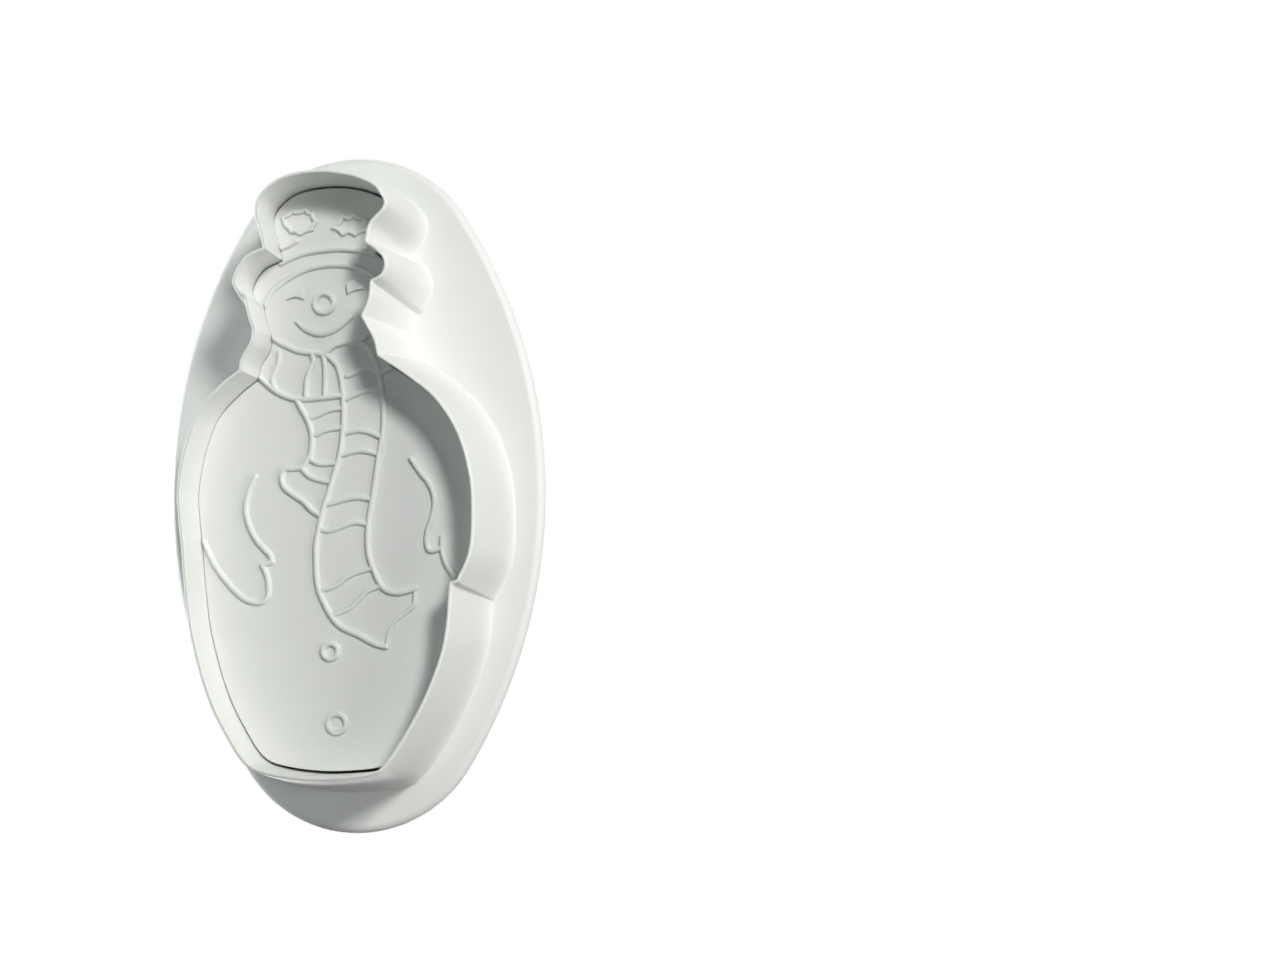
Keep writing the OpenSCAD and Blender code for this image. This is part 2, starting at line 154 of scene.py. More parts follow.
def place(piece, body, slot, material, *nodes):
    """Hangs a piece on its CAD body, in place of the CAD nodes that it stands for."""
    piece.data.materials.clear()
    piece.data.materials.append(material)
    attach(piece, body)
    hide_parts(*nodes)
    print(piece.name, "on", body, "for", nodes, len(piece.data.vertices), "points")


print("points nearer than", SAME_POINT / MM, "mm become one")


# %% [markdown]
# ## White plastic
# The mouldings are a white, slightly greenish plastic with a satin shine. A flat white would look
# like paper, so three faint things vary over it: the tint over some millimetres, as the melt
# flowed, the shine, as the mould was polished, and a very fine grain. They come from noise in the
# object's own space, which holds still when the part turns or is exported. The wall and the flange
# are a little duller than the tube, and the plunger's mouldings lie between the two.

# %% Noise
NOISE_RANGE = (0.3, 0.7)


def noise(nodes, links, space, scale, detail):
    """A noise pattern; its features are about 1 / scale metres wide."""
    pattern = nodes.new("ShaderNodeTexNoise")
    pattern.inputs["Scale"].default_value = scale
    pattern.inputs["Detail"].default_value = detail
    links.new(space.outputs["Object"], pattern.inputs["Vector"])
    return pattern


def spread(nodes, links, source, low, high):
    """Stretches a noise's usual range over low to high."""
    reach = nodes.new("ShaderNodeMapRange")
    reach.inputs["From Min"].default_value = NOISE_RANGE[0]
    reach.inputs["From Max"].default_value = NOISE_RANGE[1]
    reach.inputs["To Min"].default_value = low
    reach.inputs["To Max"].default_value = high
    links.new(source.outputs["Fac"], reach.inputs["Value"])
    return reach


def bump(nodes, links, source, strength, depth):
    """Turns a noise into a relief, depth in millimetres."""
    relief = nodes.new("ShaderNodeBump")
    relief.inputs["Strength"].default_value = strength
    relief.inputs["Distance"].default_value = depth * MM
    links.new(source.outputs["Fac"], relief.inputs["Height"])
    return relief


print("noise patterns are read from", *NOISE_RANGE)

# %% [markdown]
# ## One recipe for all mouldings
# The first numbers below are how many features of each noise lie in a metre: the melt's flow, the
# polish, the broad ripple of a large flat face, and the grain. The reliefs are a strength and a
# depth in millimetres. A little light goes into the plastic and comes out beside, which keeps thin
# edges from looking like chalk. The three plastics could be built by hand, node by node; one
# function makes sure that they differ in their shine alone.

# %% Plastic
FLOW, POLISH, RIPPLE, GRAIN = 70, 260, 120, 3200
WHITE = (0.803, 0.82, 0.788)
WHITE_DEEPER = (0.778, 0.795, 0.763)
GRAIN_RELIEF = (0.25, 0.012)
RIPPLE_RELIEF = (0.4, 0.1)
REFRACTION = 1.49
GLOW = 0.12
GLOW_REACH = 0.8
GLOW_TINT = (1.0, 0.95, 0.85)


def plastic(name, shine):
    """Satin moulded plastic between two close tints; shine is its lowest and highest roughness."""
    material = bpy.data.materials.new(name)
    material.use_nodes = True
    nodes = material.node_tree.nodes
    links = material.node_tree.links
    shader = nodes["Principled BSDF"]
    space = nodes.new("ShaderNodeTexCoord")

    tints = nodes.new("ShaderNodeMix")
    tints.data_type = "RGBA"
    tints.inputs["A"].default_value = (*WHITE, 1)
    tints.inputs["B"].default_value = (*WHITE_DEEPER, 1)
    share = spread(nodes, links, noise(nodes, links, space, FLOW, 3), 0, 1)
    links.new(share.outputs["Result"], tints.inputs["Factor"])
    links.new(tints.outputs["Result"], shader.inputs["Base Color"])

    rough = spread(nodes, links, noise(nodes, links, space, POLISH, 4), *shine)
    links.new(rough.outputs["Result"], shader.inputs["Roughness"])

    fine = bump(nodes, links, noise(nodes, links, space, GRAIN, 2), *GRAIN_RELIEF)
    broad = bump(nodes, links, noise(nodes, links, space, RIPPLE, 2), *RIPPLE_RELIEF)
    links.new(fine.outputs["Normal"], broad.inputs["Normal"])
    links.new(broad.outputs["Normal"], shader.inputs["Normal"])

    shader.inputs["IOR"].default_value = REFRACTION
    shader.inputs["Subsurface Weight"].default_value = GLOW
    shader.inputs["Subsurface Radius"].default_value = GLOW_TINT
    shader.inputs["Subsurface Scale"].default_value = GLOW_REACH * MM
    return material


body_plastic = plastic("body_white_plastic", (0.34, 0.44))
wall_plastic = plastic("wall_white_plastic", (0.44, 0.54))
plunger_plastic = plastic("plunger_white_plastic", (0.38, 0.48))
print("plastics:", body_plastic.name, wall_plastic.name, plunger_plastic.name)

# %% [markdown]
# ## Lines through knots
# The snowman's outline and the drawing are given by a few knots each, in millimetres, as the face
# is seen: x to its right and y up. A soft line runs through the knots, and a knot marked with a
# third number 1 turns a sharp corner, as where the brim meets the hat. A spline object could do it
# too, but the wall, the plate and the trim must all share one line, and points are easy to share.

# %% Lines
STEPS = 10
MITRE_LIMIT = 0.7


def heading(knots, i, chord, closed):
    """Direction of the line at knot i, as long as the chord it is used on."""
    at_end = not closed and i in (0, len(knots) - 1)
    if at_end or knots[i][2:3] == [1]:
        return chord
    across = Vector(knots[(i + 1) % len(knots)][:2]) - Vector(knots[i - 1][:2])
    return across.normalized() * chord.length


def soft_line(knots, closed=False, steps=STEPS):
    """Points along the line through the knots."""
    points = []
    for i in range(len(knots) if closed else len(knots) - 1):
        j = (i + 1) % len(knots)
        a = Vector(knots[i][:2])
        b = Vector(knots[j][:2])
        leave = heading(knots, i, b - a, closed)
        arrive = heading(knots, j, b - a, closed)
        for s in range(steps):
            t = s / steps
            points.append(
                a * (2 * t**3 - 3 * t**2 + 1) + leave * (t**3 - 2 * t**2 + t)
                + b * (3 * t**2 - 2 * t**3) + arrive * (t**3 - t**2))
    if not closed:
        points.append(Vector(knots[-1][:2]))
    return points


def right_of(step):
    """Unit vector to the right of a step."""
    return Vector((step.y, -step.x)).normalized()


def mitre(u, v):
    """The move that shifts both sides of a corner to their right by one, short at a sharp one."""
    return (u + v) / max(1 + u.dot(v), MITRE_LIMIT)


def sideways(points, closed):
    """At each point, the move that shifts the line by one to its right, mitred at corners."""
    moves = []
    last = len(points) - 1
    for i, here in enumerate(points):
        back = points[i - 1] if closed or i > 0 else here * 2 - points[1]
        ahead = points[(i + 1) % len(points)] if closed or i < last else here * 2 - points[i - 1]
        moves.append(mitre(right_of(here - back), right_of(ahead - here)))
    return moves


def on_face(point, z):
    """A point of the drawing, in the frame: the face's own right is -X."""
    return (-point[0], point[1], z)


print("lines take", STEPS, "steps from knot to knot")

# %% [markdown]
# ## The snowman's outline
# The figure is one closed loop of knots, anticlockwise from the top of the hat: brim, cheek,
# scarf, body with its two hands, and back up the other side. It could be drawn once for each
# piece, but one loop, moved in or out by a gap, keeps the wall and the plate parallel. A knot's
# third number is 1 at a sharp corner. A fourth is how far the wall leans out by its foot there, in
# millimetres: it is steeper along the right of the hat than elsewhere.

# %% Outline
FIGURE = [
    [-0.8, 43.7], [-5.7, 43], [-8.9, 40.7], [-9.7, 38.3], [-9.1, 35.6], [-8.5, 32.9, 1],
    [-11, 31.8], [-12.9, 28.6], [-12.3, 26.6], [-11.2, 25.8, 1], [-10.9, 24.2], [-10.6, 23],
    [-10, 21.3, 1], [-10.3, 19.6], [-11.3, 18], [-11.8, 16.8], [-11.9, 15.7, 1], [-14.4, 13.9],
    [-17.8, 10.3], [-19.8, 5.3], [-20.9, -0.7], [-20.7, -5.1], [-20.3, -8.6, 1], [-19.9, -13.9],
    [-18.9, -21.4], [-16.4, -30], [-13.3, -36.1], [-11.2, -39], [-9, -40.2], [-3.5, -41.2],
    [1.8, -41.3], [7.3, -40.6], [9, -39.2], [12, -34.9], [14.9, -29.5], [17.2, -23],
    [18.1, -15.2, 1], [19, -14.9, 1], [20.8, -10.9], [21.3, -4.5], [20.9, 0.5], [19.3, 6],
    [16.3, 10.8], [12.5, 14.1], [8.3, 17.1, 1], [7.8, 19.3], [6.1, 22.5, 1], [7.1, 24.8],
    [7.4, 27.2, 1], [8.8, 27.9], [9.5, 29.5], [8.9, 31.3], [6.7, 33.2, 1, 1.7],
    [7.3, 35.4, 0, 1.9], [9, 37.2, 0, 1.7], [9.5, 38.3, 0, 1.8], [9.1, 39.6, 0, 2],
    [7.6, 41.5, 0, 1.6], [3.8, 43.1, 0, 1.9]]


def grown(knots, gap):
    """A loop's knots moved outwards by a gap, with its corners kept."""
    points = [Vector(knot[:2]) for knot in knots]
    moves = sideways(points, True)
    return [[*(point + move * gap), *knot[2:]] for point, move, knot in zip(points, moves, knots)]


def outline(gap):
    """The figure's loop of points, outside the cutting edge by a gap."""
    return soft_line(grown(FIGURE, gap), closed=True)


print("outline:", len(FIGURE), "knots,", len(outline(0)), "points")

# %% [markdown]
# ## The cutting wall
# The real wall and flange are one moulding. The wall is 0.5 mm thick at its edge, which is rounded
# on the outside and nearly sharp on the inside. It leans out to its foot and melts into the flange
# with a small blend. A solidify and a bevel would give one thickness and one radius all over. So
# its profile is a list of points instead, each a gap from the edge line and a height.

# %% Wall profile
WALL_DEPTH = corners("cutting_wall")[1].z
PLATE_FACE, PLATE_BACK = [corner.z for corner in corners("embossing_plate")]
EDGE = 0.5
INNER_ROUND = 0.08
OUTER_ROUND = 0.32
DRAFT = 2.5
FOOT_BLEND = 0.3
SUNK = 0.05
ROUND_STEPS = 5
OUTER_STEPS = 3
WALL_STEPS = 4
FOOT_STEPS = 8


def quarter(start, reach_x, reach_y, steps=ROUND_STEPS, outwards=True):
    """A quarter round from start; it ends reach_x and reach_y away."""
    points = []
    for s in range(steps + 1):
        angle = math.pi / 2 * s / steps
        slow, fast = 1 - math.cos(angle), math.sin(angle)
        x, y = (slow, fast) if outwards else (fast, slow)
        points.append((start[0] + reach_x * x, start[1] + reach_y * y))
    return points


def wall_profile():
    """Up the inside, round the cutting edge, and down the drafted outside to the flange."""
    profile = [(-EDGE, WALL_DEPTH + SUNK), (-EDGE, PLATE_BACK)]
    profile += quarter((-EDGE, INNER_ROUND), INNER_ROUND, -INNER_ROUND)
    profile += quarter((-OUTER_ROUND, 0), OUTER_ROUND, OUTER_ROUND, OUTER_STEPS, outwards=False)
    rise = WALL_DEPTH - FOOT_BLEND
    for s in range(1, WALL_STEPS):
        share = s / WALL_STEPS
        profile.append((DRAFT * rise * share / WALL_DEPTH, rise * share))
    foot = DRAFT * rise / WALL_DEPTH
    profile += quarter((foot, rise), DRAFT + FOOT_BLEND - foot, FOOT_BLEND, FOOT_STEPS)
    profile.append((DRAFT + FOOT_BLEND, WALL_DEPTH + SUNK))
    return profile


print("wall depth, mm:", round(WALL_DEPTH, 2), "profile:", len(wall_profile()), "points")

# %% [markdown]
# ## The wall's skin
# Every point of the outline gets that profile. The wall isn't quite the same line all the way up:
# corners that stand out are sharp at the edge and round at the foot. So the outline is worked out
# at four gaps, which guide the skin, and the rings between them are blended from the nearest two.

# %% Cutting wall
def foot_knots(extra):
    """The figure's knots at the foot of the wall, where its standing corners are round."""
    points = [Vector(knot[:2]) for knot in FIGURE]
    moved = []
    for i, here in enumerate(points):
        own_draft = FIGURE[i][3] if len(FIGURE[i]) > 3 else DRAFT
        gap = extra + own_draft
        u = right_of(here - points[i - 1])
        v = right_of(points[(i + 1) % len(points)] - here)
        if u.cross(v) > 0:
            moved.append([*(here + (u + v).normalized() * gap)])
        else:
            moved.append([*(here + mitre(u, v) * gap), *FIGURE[i][2:3]])
    return moved


def between(gap, guides):
    """The outline at any gap, taken between the two nearest of the guide lines."""
    gaps = sorted(guides)
    low = max([g for g in gaps if g <= gap + 1e-9])
    high = min([g for g in gaps if g >= gap - 1e-9])
    if high == low:
        return guides[low]
    share = (gap - low) / (high - low)
    return [a.lerp(b, share) for a, b in zip(guides[low], guides[high])]


def cutting_wall():
    """The wall's skin, closed both along the outline and round its profile."""
    guides = {gap: outline(gap) for gap in (-EDGE, 0)}
    for extra in (0, FOOT_BLEND):
        guides[DRAFT + extra] = soft_line(foot_knots(extra), closed=True)
    rings = []
    for gap, height in wall_profile():
        rings.append([on_face(point, height) for point in between(gap, guides)])
    return skin("wall_shell", rings, closed=True)


wall = cutting_wall()
place(wall, "cutter", "white_plastic_body", wall_plastic, "cutting_wall")

# %% [markdown]
# ## The flange
# An oval plate with a full round rim, which the fingers hold. An ellipse would be shorter to write,
# but its ends would be a little too narrow. The outline is four arcs instead, as a drawing office
# would set it out, and moving it inwards only takes the inset off each radius. The rings run from
# the stem's hole out to the rim, round it and back to the hole.

# %% Flange
FLANGE_TOP = corners("oval_flange")[1].z
END_RADIUS = 19.4
STEM_HOLE = 4.8
SIDE_POINTS = 90
END_POINTS = 60
RIM_STEPS = 12


def oval(inset):
    """The flange's outline moved inwards by an inset."""
    half = corners("oval_flange")[1]
    end_centre = half.y - END_RADIUS
    side_radius = (half.x**2 + end_centre**2 - END_RADIUS**2) / (2 * (half.x - END_RADIUS))
    side_centre = side_radius - half.x
    join = math.atan2(end_centre, side_centre)
    arcs = [
        (-side_centre, 0, side_radius, -join, join, SIDE_POINTS),
        (0, end_centre, END_RADIUS, join, math.pi - join, END_POINTS),
        (side_centre, 0, side_radius, math.pi - join, math.pi + join, SIDE_POINTS),
        (0, -end_centre, END_RADIUS, math.pi + join, 2 * math.pi - join, END_POINTS)]
    points = []
    for x, y, radius, begin, end, steps in arcs:
        for s in range(steps):
            angle = begin + (end - begin) * s / steps
            reach = radius - inset
            points.append((x + reach * math.cos(angle), y + reach * math.sin(angle)))
    return points


def hole_ring(z):
    """The stem's hole, with one point for each point of the oval, in the same direction."""
    ring = []
    for x, y in oval(0):
        angle = math.atan2(y, x)
        ring.append((STEM_HOLE * math.cos(angle), STEM_HOLE * math.sin(angle), z))
    return ring


def oval_flange():
    """Flat on both sides, with a half-round rim."""
    half = (FLANGE_TOP - WALL_DEPTH) / 2
    middle = WALL_DEPTH + half
    rings = [hole_ring(WALL_DEPTH)]
    for s in range(RIM_STEPS + 1):
        angle = math.pi * s / RIM_STEPS - math.pi / 2
        inset = half * (1 - math.cos(angle))
        z = middle + half * math.sin(angle)
        rings.append([(x, y, z) for x, y in oval(inset)])
    rings.append(hole_ring(FLANGE_TOP))
    return skin("flange_plate", rings, closed=True)


flange = oval_flange()
place(flange, "cutter", "white_plastic_body", wall_plastic, "oval_flange")

# %% [markdown]
# ## Turned shapes
# The tube, the shank and the knob are round, so each is one outline turned about the axis. An
# outline is a list of corners, and each corner carries the radius of its blend. That is how the
# mould for such a part is drawn, and it gives the in-turned end of the tube and the hollow under
# the knob their soft look from the same few numbers.

# %% Turning
TURNS = 160


def blended(corner_list, steps=8):
    """A closed outline whose corners [x, y, radius] are rounded."""
    points = []
    count = len(corner_list)
    for i, (x, y, radius) in enumerate(corner_list):
        here = Vector((x, y))
        if radius == 0:
            points.append(here)
            continue
        back = (Vector(corner_list[i - 1][:2]) - here).normalized()
        ahead = (Vector(corner_list[(i + 1) % count][:2]) - here).normalized()
        half = back.angle(ahead) / 2
        reach = radius / math.tan(half)
        centre = here + (back + ahead).normalized() * radius / math.sin(half)
        first = here + back * reach - centre
        final = here + ahead * reach - centre
        begin = math.atan2(first.y, first.x)
        turn = math.atan2(final.y, final.x) - begin
        turn = (turn + math.pi) % (2 * math.pi) - math.pi
        for s in range(steps + 1):
            angle = begin + turn * s / steps
            points.append(centre + Vector((math.cos(angle), math.sin(angle))) * radius)
    return points


def turned(name, points):
    """Turns a closed outline of points (radius, height) about the axis."""
    rings = []
    for t in range(TURNS):
        angle = 2 * math.pi * t / TURNS
        rings.append([(p[0] * math.cos(angle), p[0] * math.sin(angle), p[1]) for p in points])
    return skin(name, rings, closed=True)


print("turned shapes take", TURNS, "steps round the axis")

# %% [markdown]
# ## The guide tube
# The tube stands on the flange with a small blend at its foot. Its free end turns in to guide the
# shank, so the end is round outside and has a ledge inside. Boring a cylinder with a boolean would
# leave its edges hard. One closed outline, turned, has the bore, the ledge and the blends at once.

# %% Guide tube
TUBE_FOOT = 0.7
TUBE_END = 3.2
MOUTH = 0.35
LEDGE_EDGE = 0.2
LEDGE_BLEND = 0.5
RUNNING_GAP = 0.06


def guide_tube():
    """The tube with its in-turned end, which guides the shank, as the one moulding it is."""
    outer = corners("guide_tube")[1].x
    bore = corners("tube_socket")[1].x
    top = corners("tube_collar")[1].z
    ledge = corners("tube_collar")[0].z
    hole = corners("knob_shank")[1].x + RUNNING_GAP
    skirt = outer + TUBE_FOOT
    return turned("tube_moulding", blended([
        [bore, FLANGE_TOP, 0], [skirt, FLANGE_TOP - SUNK, 0], [skirt, FLANGE_TOP, 0],
        [outer, FLANGE_TOP, TUBE_FOOT], [outer, top, TUBE_END], [hole, top, MOUTH],
        [hole, ledge, LEDGE_EDGE], [bore, ledge, LEDGE_BLEND]]))


tube = guide_tube()
place(tube, "cutter", "white_plastic_body", body_plastic, "guide_tube", "tube_collar")

# %% [markdown]
# ## The knob
# A thin domed disc, 35 mm across, on a round shank that runs in the tube. The palm presses on the
# dome, and the blend under it carries the load into the shank. The dome is so shallow that a
# circle's arc from the axis to the rim would be 220 mm in radius; a parabola gives the same rise.

# %% Knob
KNOB_BLEND = 4
KNOB_RIM = 1.3
RIM_ROUND = KNOB_RIM - 0.01
BORE_EDGE = 0.2
SHANK_EDGE = 0.3
KNOB_STEPS = 14
CROWN_STEPS = 10


def knob():
    """Shank, blend, thin disc with a full round rim, and the crown."""
    high = corners("push_knob")[1]
    shank_low, shank_high = corners("knob_shank")
    stem = corners("plunger_stem")[1]
    radius = high.x
    neck = shank_high.x
    under = shank_high.z + KNOB_BLEND
    top = under + 2 * KNOB_RIM
    crown = high.z - under - 2 * KNOB_RIM
    points = blended([
        [0, stem.z, 0], [stem.x, stem.z, 0], [stem.x, shank_low.z, BORE_EDGE],
        [neck, shank_low.z, SHANK_EDGE], [neck, under, KNOB_BLEND], [radius, under, RIM_ROUND],
        [radius, top, RIM_ROUND], [0, top, 0]], KNOB_STEPS)[:-1]
    flat = radius - KNOB_RIM
    for s in range(1, CROWN_STEPS + 1):
        share = s / CROWN_STEPS
        height = crown * (1 - (1 - share) ** 2)
        points.append(Vector((flat * (1 - share), top + height)))
    return turned("knob_moulding", points)


knob_piece = knob()
place(knob_piece, "plunger", "white_plastic_plunger", plunger_plastic, "knob_shank", "push_knob")

# %% [markdown]
# ## The plate
# The embossing plate fills the wall with 0.1 mm to spare, so it takes the same outline moved
# inwards. In the photograph the gap is a hairline at the left and black at the hat and the foot:
# the plate is a little short, and it lies at the left of its play. It does both here too, because
# an even gap all round would look drawn.

# %% Plate
CLEARANCE = 0.1
PLATE_ROUND = 0.15
PLAY = Vector((-0.06, 0.05))
SHORTER = 0.9935


def plate_outline(inset=0):
    """The plate's own outline: a little short, and lying at the left of its play."""
    points = outline(-EDGE - CLEARANCE - inset)
    return [Vector((point.x, point.y * SHORTER)) + PLAY for point in points]


def embossing_plate():
    """A flat plate with a rounded edge on its face."""
    rings = [[on_face(point, PLATE_BACK) for point in plate_outline()]]
    for inset, height in quarter((0, PLATE_FACE + PLATE_ROUND), PLATE_ROUND, -PLATE_ROUND):
        rings.append([on_face(point, height) for point in plate_outline(inset)])
    return skin("plate_moulding", rings)


plate = embossing_plate()
place(plate, "plunger", "white_plastic_plunger", plunger_plastic, "embossing_plate")

# %% [markdown]
# ## Raised lines
# The drawing is raised by half a millimetre, so that it presses grooves into the paste. A bump
# texture would show it from the front only, so each line is real: a dome swept along its points,
# with round ends. A curve object with a bevel would sweep a circle; rings give the dome that a
# round-nosed mould cutter leaves.

# %% Raised lines
LINE = 0.43
HEIGHT = 0.56
DOME_TOP = 2.8
DOME_SIDE = 0.6
HALF_STEPS = 6
ACROSS = [math.sin(math.pi / 2 * s / HALF_STEPS) for s in range(-HALF_STEPS, HALF_STEPS + 1)]
CAP_STEPS = 6
CAP_SPARE = 0.4
SETTLE = 0.12
FAINT = 0.4


def dome(r):
    """Height of the line, from 1 at its crest to 0 at its foot, at r half widths from the crest."""
    return (1 - min(r, 1) ** DOME_TOP) ** DOME_SIDE


def line_ring(centre, side, width, height, push):
    """One cut across a line; push is how far along its round end the cut lies, 0 to 1."""
    narrow = math.sqrt(max(1 - push**2, 0))
    ring = [on_face(centre - side * width * narrow, PLATE_FACE + SETTLE)]
    for s in ACROSS:
        lift = height * dome(math.hypot(push, s * narrow))
        ring.append(on_face(centre + side * width * narrow * s, PLATE_FACE - lift))
    ring.append(on_face(centre + side * width * narrow, PLATE_FACE + SETTLE))
    return ring


def cap(point, beyond, side, width, height):
    """The cuts of a line's round end, outwards; the last one stops just short of the tip."""
    along = (point - beyond).normalized()
    rings = []
    for s in range(1, CAP_STEPS + 1):
        push = math.sin(math.pi / 2 * s / (CAP_STEPS + CAP_SPARE))
        rings.append(line_ring(point + along * width * push, side, width, height, push))
    return rings


def raised_line(points, width=LINE, height=HEIGHT, closed=False, middle=None, fade=0):
    """A dome swept along points. An open line gets round ends and can be wider in its middle.
    With a fade, it starts faint and rises to its height over so many points."""
    moves = sideways(points, closed)
    rings = []
    lifts = []
    for i, (point, move) in enumerate(zip(points, moves)):
        swell = math.sin(math.pi * i / (len(points) - 1)) * ((middle or width) - width)
        lifts.append(height * (FAINT + (1 - FAINT) * i / fade) if i < fade else height)
        rings.append(line_ring(point, move, width + swell, lifts[i], 0))
    if not closed:
        start = cap(points[0], points[1], moves[0], width, lifts[0])
        rings = start[::-1] + rings + cap(points[-1], points[-2], moves[-1], width, lifts[-1])
    return skin("line", rings, closed=closed)


def lines(knot_lists, width=LINE, height=HEIGHT):
    """One raised line for each list of knots."""
    return [raised_line(soft_line(knots), width, height) for knots in knot_lists]


print("raised lines, mm:", 2 * LINE, "wide,", HEIGHT, "high")

# %% [markdown]
# ## Joining and trimming
# The lines of one part cross and overlap, so they are joined into one solid. Booleans do it, and
# they also trim a line where it passes under the scarf or reaches the edge of the plate. The
# manifold solver is fast and leaves no stray faces, but it needs closed solids, which skins are.

# %% Joining and trimming
STENCIL_REACH = 2
LINE_SHARP = 50


def stencil(points):
    """An upright prism over a closed line, to trim with."""
    heights = (PLATE_FACE - STENCIL_REACH, PLATE_FACE + STENCIL_REACH)
    return skin("stencil", [[on_face(p, z) for p in points] for z in heights])


def combine(solid, other, operation):
    """Adds one boolean step to a solid."""
    step = solid.modifiers.new(operation.lower(), "BOOLEAN")
    step.operation = operation
    step.solver = "MANIFOLD"
    step.object = other


def fused(name, shells, inside, outside):
    """One solid of all shells, kept inside one stencil and cut away by the others."""
    first = shells[0]
    for shell in shells[1:]:
        combine(first, shell, "UNION")
    combine(first, inside, "INTERSECT")
    for cutter in outside:
        combine(first, cutter, "DIFFERENCE")
    bpy.context.view_layer.update()
    settled = first.evaluated_get(bpy.context.evaluated_depsgraph_get())
    result = bpy.data.meshes.new_from_object(settled)
    for spent in [*shells, inside, *outside]:
        bpy.data.objects.remove(spent)
    result.name = name
    piece = bpy.data.objects.new(name, result)
    bpy.context.scene.collection.objects.link(piece)
    shade(piece, LINE_SHARP)
    return piece


def drawn(name, node, shells, outside=()):
    """A part of the drawing, trimmed to the plate and placed on the plunger."""
    piece = fused(name, shells, stencil(plate_outline(PLATE_ROUND)), outside)
    place(piece, "plunger", "white_plastic_plunger", plunger_plastic, node)


print("stencils reach", STENCIL_REACH, "mm past the plate's face")

# %% [markdown]
# ## The hat
# The snowman is the common winter figure, with a top hat. A long line runs over its brim, a short
# one starts a band at the left, and the line under the brim starts faint, as on the real plate.
# The two holly leaves could be closed loops, but a loop mitred at such sharp tips crosses itself.
# Each is made of hollow arcs from tip to tip instead, thin at their ends and joined afterwards.

# %% Hat
HAT_LINES = [
    [[-8, 32.1], [-6.5, 32.8], [-4.6, 33.4], [-2.2, 33.7], [0.7, 33.8], [3.4, 33.4], [6, 32.7],
     [8.2, 32]],
    [[-8.4, 34.2], [-6.9, 34.7], [-5.7, 35.3]]]
BRIM_LINE = [
    [-10.4, 26], [-10.1, 27.1], [-9.4, 28.1], [-8.4, 28.9], [-7, 29.8], [-5.5, 30.6], [-3.7, 31.2],
    [-1.8, 31.5], [0.1, 31.5], [1.9, 31.3], [3.7, 30.7], [5.1, 29.9], [6.6, 28.6], [7.9, 27.4]]
LEAF_LEFT = [
    [-7.8, 38.8, 1], [-7.5, 38.1], [-7.3, 37.5, 1], [-6.9, 37.3], [-6.5, 36.6, 1], [-5.9, 36.7],
    [-5.1, 36.2, 1], [-4.4, 36.7], [-3.4, 36.8, 1], [-3.4, 37.3], [-2.8, 38, 1], [-3.3, 38.6],
    [-3.3, 39.3, 1], [-3.9, 39.3], [-4.5, 39.8, 1], [-5.3, 39.5], [-6.3, 39.6, 1], [-7.1, 39.1]]
LEAF_RIGHT = [
    [-0.4, 36.9, 1], [0.4, 36.7], [1.2, 35.8, 1], [2, 36.3], [3, 35.7, 1], [3.6, 36.2],
    [4.6, 36.3, 1], [4.4, 37], [5, 37.6, 1], [4.4, 37.9], [3.9, 38.4, 1], [3.4, 38.2],
    [2.7, 38.7, 1], [2.1, 38.2], [1.1, 38.5, 1], [0.7, 37.7]]
BRIM_FADE = 60
LEAF_TIP = 0.22
LEAF_MIDDLE = 0.35
LEAF_HEIGHT = 0.5
LEAF_STEPS = 6


def leaf(knots):
    """A holly leaf: hollow arcs from tip to tip, each line thinner at its ends."""
    tips = [i for i, knot in enumerate(knots) if len(knot) > 2] + [len(knots)]
    loop = knots + knots[:1]
    arcs = [soft_line(loop[a:b + 1], steps=LEAF_STEPS) for a, b in zip(tips, tips[1:])]
    return [raised_line(arc, LEAF_TIP, LEAF_HEIGHT, middle=LEAF_MIDDLE) for arc in arcs]


brim = raised_line(soft_line(BRIM_LINE), fade=BRIM_FADE)
drawn("hat_band_lines", "hat_band", lines(HAT_LINES) + [brim])
drawn("holly_leaf_left", "hat_leaf_left", leaf(LEAF_LEFT))
drawn("holly_leaf_right", "hat_leaf_right", leaf(LEAF_RIGHT))

# %% [markdown]
# ## The face
# Two closed eyes, a ring for a nose, and a smile that is widest in its middle. The eyes are the
# only filled spots of the drawing. Extruding their outline would give hard edges, so their rings
# shrink towards a middle point as they rise, which rounds the top.

# %% Face
EYES = [
    [[-7.3, 26.7, 1], [-5.9, 27.1], [-4.6, 26.7, 1], [-4.7, 27.6], [-5.3, 28.4], [-6.3, 27.9]],
    [[1.6, 28.7, 1], [1.6, 27.9], [1.8, 27.1, 1], [2.7, 27.6], [4.4, 27.8, 1], [3.6, 28.6],
     [2.6, 29.1]]]
EYE_MIDDLES = [(-5.5, 27.5), (2.6, 28.2)]
NOSE_CENTRE = (-1.7, 26)
NOSE_DIAMETER = 2.8
SMILE = [
    [-5.7, 23.5], [-4.7, 22.6], [-3.6, 22], [-2.4, 21.7], [-1, 21.9], [0.4, 22.5], [1.5, 23.2],
    [2.5, 23.8]]
SMILE_TIP = 0.26
SMILE_MIDDLE = 0.64
PATCH_HEIGHT = 0.5
PATCH_EDGE = 0.2
PATCH_STEPS = 6
RING_STEPS = 48


def raised_patch(knots, middle):
    """A raised spot with a rounded top; its rings shrink towards its middle."""
    loop = soft_line(knots, closed=True, steps=PATCH_STEPS)
    middle = Vector(middle)
    rings = [[on_face(p, PLATE_FACE + SETTLE) for p in loop]]
    for inset, lift in quarter((0, PATCH_HEIGHT - PATCH_EDGE), PATCH_EDGE, PATCH_EDGE):
        share = 1 - inset / (loop[0] - middle).length
        rings.append([on_face(middle + (p - middle) * share, PLATE_FACE - lift) for p in loop])
    return skin("patch", rings)


